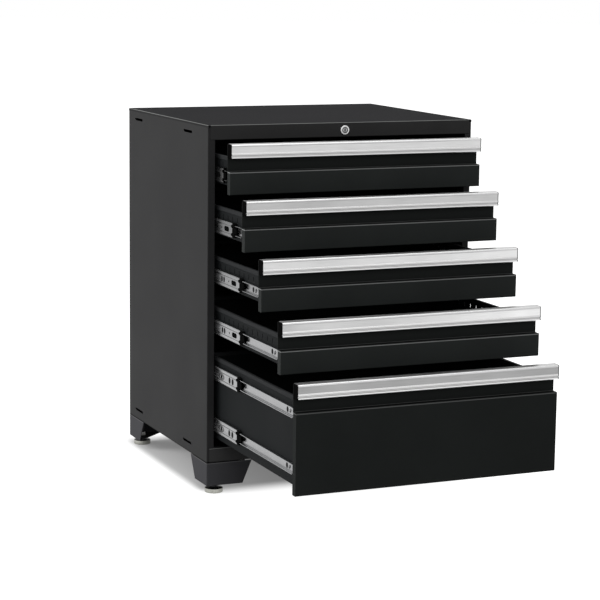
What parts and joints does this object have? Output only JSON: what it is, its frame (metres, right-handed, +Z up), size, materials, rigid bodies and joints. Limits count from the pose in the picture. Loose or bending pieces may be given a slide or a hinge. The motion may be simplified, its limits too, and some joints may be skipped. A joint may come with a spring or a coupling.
{
  "type": "drawer tool cabinet",
  "caption": "Steel drawer cabinet for tools on levelling feet: inset drawers on ball-bearing slides with full-width bar pulls, and a central lock.",
  "frame": {"origin": "on the floor, at the centre of the bounding box with the drawers standing open as stored", "axes": "+Z up, +X to the right as seen from in front, +Y from the drawers' fronts to the back; drawers open along -Y"},
  "size_m": [0.7112, 1.0936, 0.9092],
  "materials": {
    "shell_paint": "satin black powder coat",
    "front_paint": "satin black powder coat",
    "box_paint": "satin black powder coat",
    "leg_paint": "satin black powder coat",
    "pull_metal": "brushed and clear anodised",
    "slide_metal": "bright zinc plate",
    "hardware": "zinc plate",
    "foot_metal": "zinc plate with a dark hub",
    "lock_metal": "polished",
    "black_plastic": "moulded, fine grain"
  },
  "bodies": {
    "cabinet": {"left_side_panel": "shell_paint", "right_side_panel": "shell_paint", "top_panel": "shell_paint", "bottom_panel": "shell_paint", "back_panel": "shell_paint", "header_rail": "shell_paint", "bottom_rail": "shell_paint", "slide_uprights": "shell_paint", "front_left_leg": "leg_paint", "front_right_leg": "leg_paint", "rear_left_leg": "leg_paint", "rear_right_leg": "leg_paint", "leg_bolts": "hardware", "leg_nuts": "hardware", "lock_housing": "lock_metal", "lock_nut": "hardware", "lock_bar_guides": "black_plastic", "cabinet_slide_members": "slide_metal"},
    "drawer_1": {"drawer_1_box": "box_paint", "drawer_1_face": "front_paint", "drawer_1_pull": "pull_metal", "drawer_1_pull_caps": "black_plastic", "drawer_1_slide_rails": "slide_metal"},
    "slide_middle_1": {"drawer_1_middle_slides": "slide_metal"},
    "ball_guide_1": {"drawer_1_ball_guides": "black_plastic"},
    "drawer_2": {"drawer_2_box": "box_paint", "drawer_2_face": "front_paint", "drawer_2_pull": "pull_metal", "drawer_2_pull_caps": "black_plastic", "drawer_2_slide_rails": "slide_metal"},
    "slide_middle_2": {"drawer_2_middle_slides": "slide_metal"},
    "ball_guide_2": {"drawer_2_ball_guides": "black_plastic"},
    "drawer_3": {"drawer_3_box": "box_paint", "drawer_3_face": "front_paint", "drawer_3_pull": "pull_metal", "drawer_3_pull_caps": "black_plastic", "drawer_3_slide_rails": "slide_metal"},
    "slide_middle_3": {"drawer_3_middle_slides": "slide_metal"},
    "ball_guide_3": {"drawer_3_ball_guides": "black_plastic"},
    "drawer_4": {"drawer_4_box": "box_paint", "drawer_4_face": "front_paint", "drawer_4_pull": "pull_metal", "drawer_4_pull_caps": "black_plastic", "drawer_4_slide_rails": "slide_metal"},
    "slide_middle_4": {"drawer_4_middle_slides": "slide_metal"},
    "ball_guide_4": {"drawer_4_ball_guides": "black_plastic"},
    "drawer_5": {"drawer_5_box": "box_paint", "drawer_5_face": "front_paint", "drawer_5_pull": "pull_metal", "drawer_5_pull_caps": "black_plastic", "drawer_5_slide_rails": "slide_metal"},
    "slide_middle_5": {"drawer_5_middle_slides": "slide_metal"},
    "ball_guide_5": {"drawer_5_ball_guides": "black_plastic"},
    "front_left_foot": {"front_left_foot": "foot_metal"},
    "front_right_foot": {"front_right_foot": "foot_metal"},
    "rear_left_foot": {"rear_left_foot": "foot_metal"},
    "rear_right_foot": {"rear_right_foot": "foot_metal"},
    "lock_barrel": {"lock_plug": "lock_metal", "lock_cam": "hardware"},
    "lock_bar": {"lock_bar": "hardware"}
  },
  "joints": [
    {"name": "drawer_1_slide", "type": "slide", "parent": "cabinet", "child": "drawer_1", "axis": [0, -1, 0], "range_m": [-0.0891, 0.4409]},
    {"name": "middle_1_slide", "type": "slide", "parent": "cabinet", "child": "slide_middle_1", "axis": [0, -1, 0], "range_m": [-0.07401, 0.36618]},
    {"name": "guide_1_slide", "type": "slide", "parent": "cabinet", "child": "ball_guide_1", "axis": [0, -1, 0], "range_m": [-0.084, 0.41567]},
    {"name": "drawer_2_slide", "type": "slide", "parent": "cabinet", "child": "drawer_2", "axis": [0, -1, 0], "range_m": [-0.1844, 0.3456]},
    {"name": "middle_2_slide", "type": "slide", "parent": "cabinet", "child": "slide_middle_2", "axis": [0, -1, 0], "range_m": [-0.13301, 0.24927]},
    {"name": "guide_2_slide", "type": "slide", "parent": "cabinet", "child": "ball_guide_2", "axis": [0, -1, 0], "range_m": [-0.15701, 0.29425]},
    {"name": "drawer_3_slide", "type": "slide", "parent": "cabinet", "child": "drawer_3", "axis": [0, -1, 0], "range_m": [-0.2887, 0.2413]},
    {"name": "middle_3_slide", "type": "slide", "parent": "cabinet", "child": "slide_middle_3", "axis": [0, -1, 0], "range_m": [-0.181, 0.15129]},
    {"name": "guide_3_slide", "type": "slide", "parent": "cabinet", "child": "ball_guide_3", "axis": [0, -1, 0], "range_m": [-0.205, 0.17135]},
    {"name": "drawer_4_slide", "type": "slide", "parent": "cabinet", "child": "drawer_4", "axis": [0, -1, 0], "range_m": [-0.4057, 0.1243]},
    {"name": "middle_4_slide", "type": "slide", "parent": "cabinet", "child": "slide_middle_4", "axis": [0, -1, 0], "range_m": [-0.18701, 0.0573]},
    {"name": "guide_4_slide", "type": "slide", "parent": "cabinet", "child": "ball_guide_4", "axis": [0, -1, 0], "range_m": [-0.211, 0.06465]},
    {"name": "drawer_5_slide", "type": "slide", "parent": "cabinet", "child": "drawer_5", "axis": [0, -1, 0], "range_m": [-0.4975, 0.0325]},
    {"name": "middle_5_slide", "type": "slide", "parent": "cabinet", "child": "slide_middle_5", "axis": [0, -1, 0], "range_m": [-0.171, 0.01118]},
    {"name": "guide_5_slide", "type": "slide", "parent": "cabinet", "child": "ball_guide_5", "axis": [0, -1, 0], "range_m": [-0.19501, 0.01274]},
    {"name": "front_left_foot_turn", "type": "hinge", "parent": "cabinet", "child": "front_left_foot", "pos_m": [-0.3276, -0.0193, 0], "axis": [0, 0, 1], "continuous": true},
    {"name": "front_right_foot_turn", "type": "hinge", "parent": "cabinet", "child": "front_right_foot", "pos_m": [0.3276, -0.0193, 0], "axis": [0, 0, 1], "continuous": true},
    {"name": "rear_left_foot_turn", "type": "hinge", "parent": "cabinet", "child": "rear_left_foot", "pos_m": [-0.3276, 0.5229, 0], "axis": [0, 0, 1], "continuous": true},
    {"name": "rear_right_foot_turn", "type": "hinge", "parent": "cabinet", "child": "rear_right_foot", "pos_m": [0.3276, 0.5229, 0], "axis": [0, 0, 1], "continuous": true},
    {"name": "lock_turn", "type": "hinge", "parent": "cabinet", "child": "lock_barrel", "pos_m": [0.0033, -0.0432, 0.8902], "axis": [0, 1, 0], "range_deg": [0, 90]},
    {"name": "lock_bar_lift", "type": "slide", "parent": "cabinet", "child": "lock_bar", "axis": [0, 0, 1], "range_m": [0, 0.00848]}
  ],
  "couplings": [
    {"joint": "middle_1_slide", "follows": "drawer_1_slide", "ratio": 0.83053},
    {"joint": "guide_1_slide", "follows": "drawer_1_slide", "ratio": 0.94276},
    {"joint": "middle_2_slide", "follows": "drawer_2_slide", "ratio": 0.72126},
    {"joint": "guide_2_slide", "follows": "drawer_2_slide", "ratio": 0.85141},
    {"joint": "middle_3_slide", "follows": "drawer_3_slide", "ratio": 0.62695},
    {"joint": "guide_3_slide", "follows": "drawer_3_slide", "ratio": 0.71008},
    {"joint": "middle_4_slide", "follows": "drawer_4_slide", "ratio": 0.46093},
    {"joint": "guide_4_slide", "follows": "drawer_4_slide", "ratio": 0.52009},
    {"joint": "middle_5_slide", "follows": "drawer_5_slide", "ratio": 0.34372},
    {"joint": "guide_5_slide", "follows": "drawer_5_slide", "ratio": 0.39196},
    {"joint": "lock_turn", "follows": "lock_bar_lift", "rad_per_m": 185.13}
  ]
}
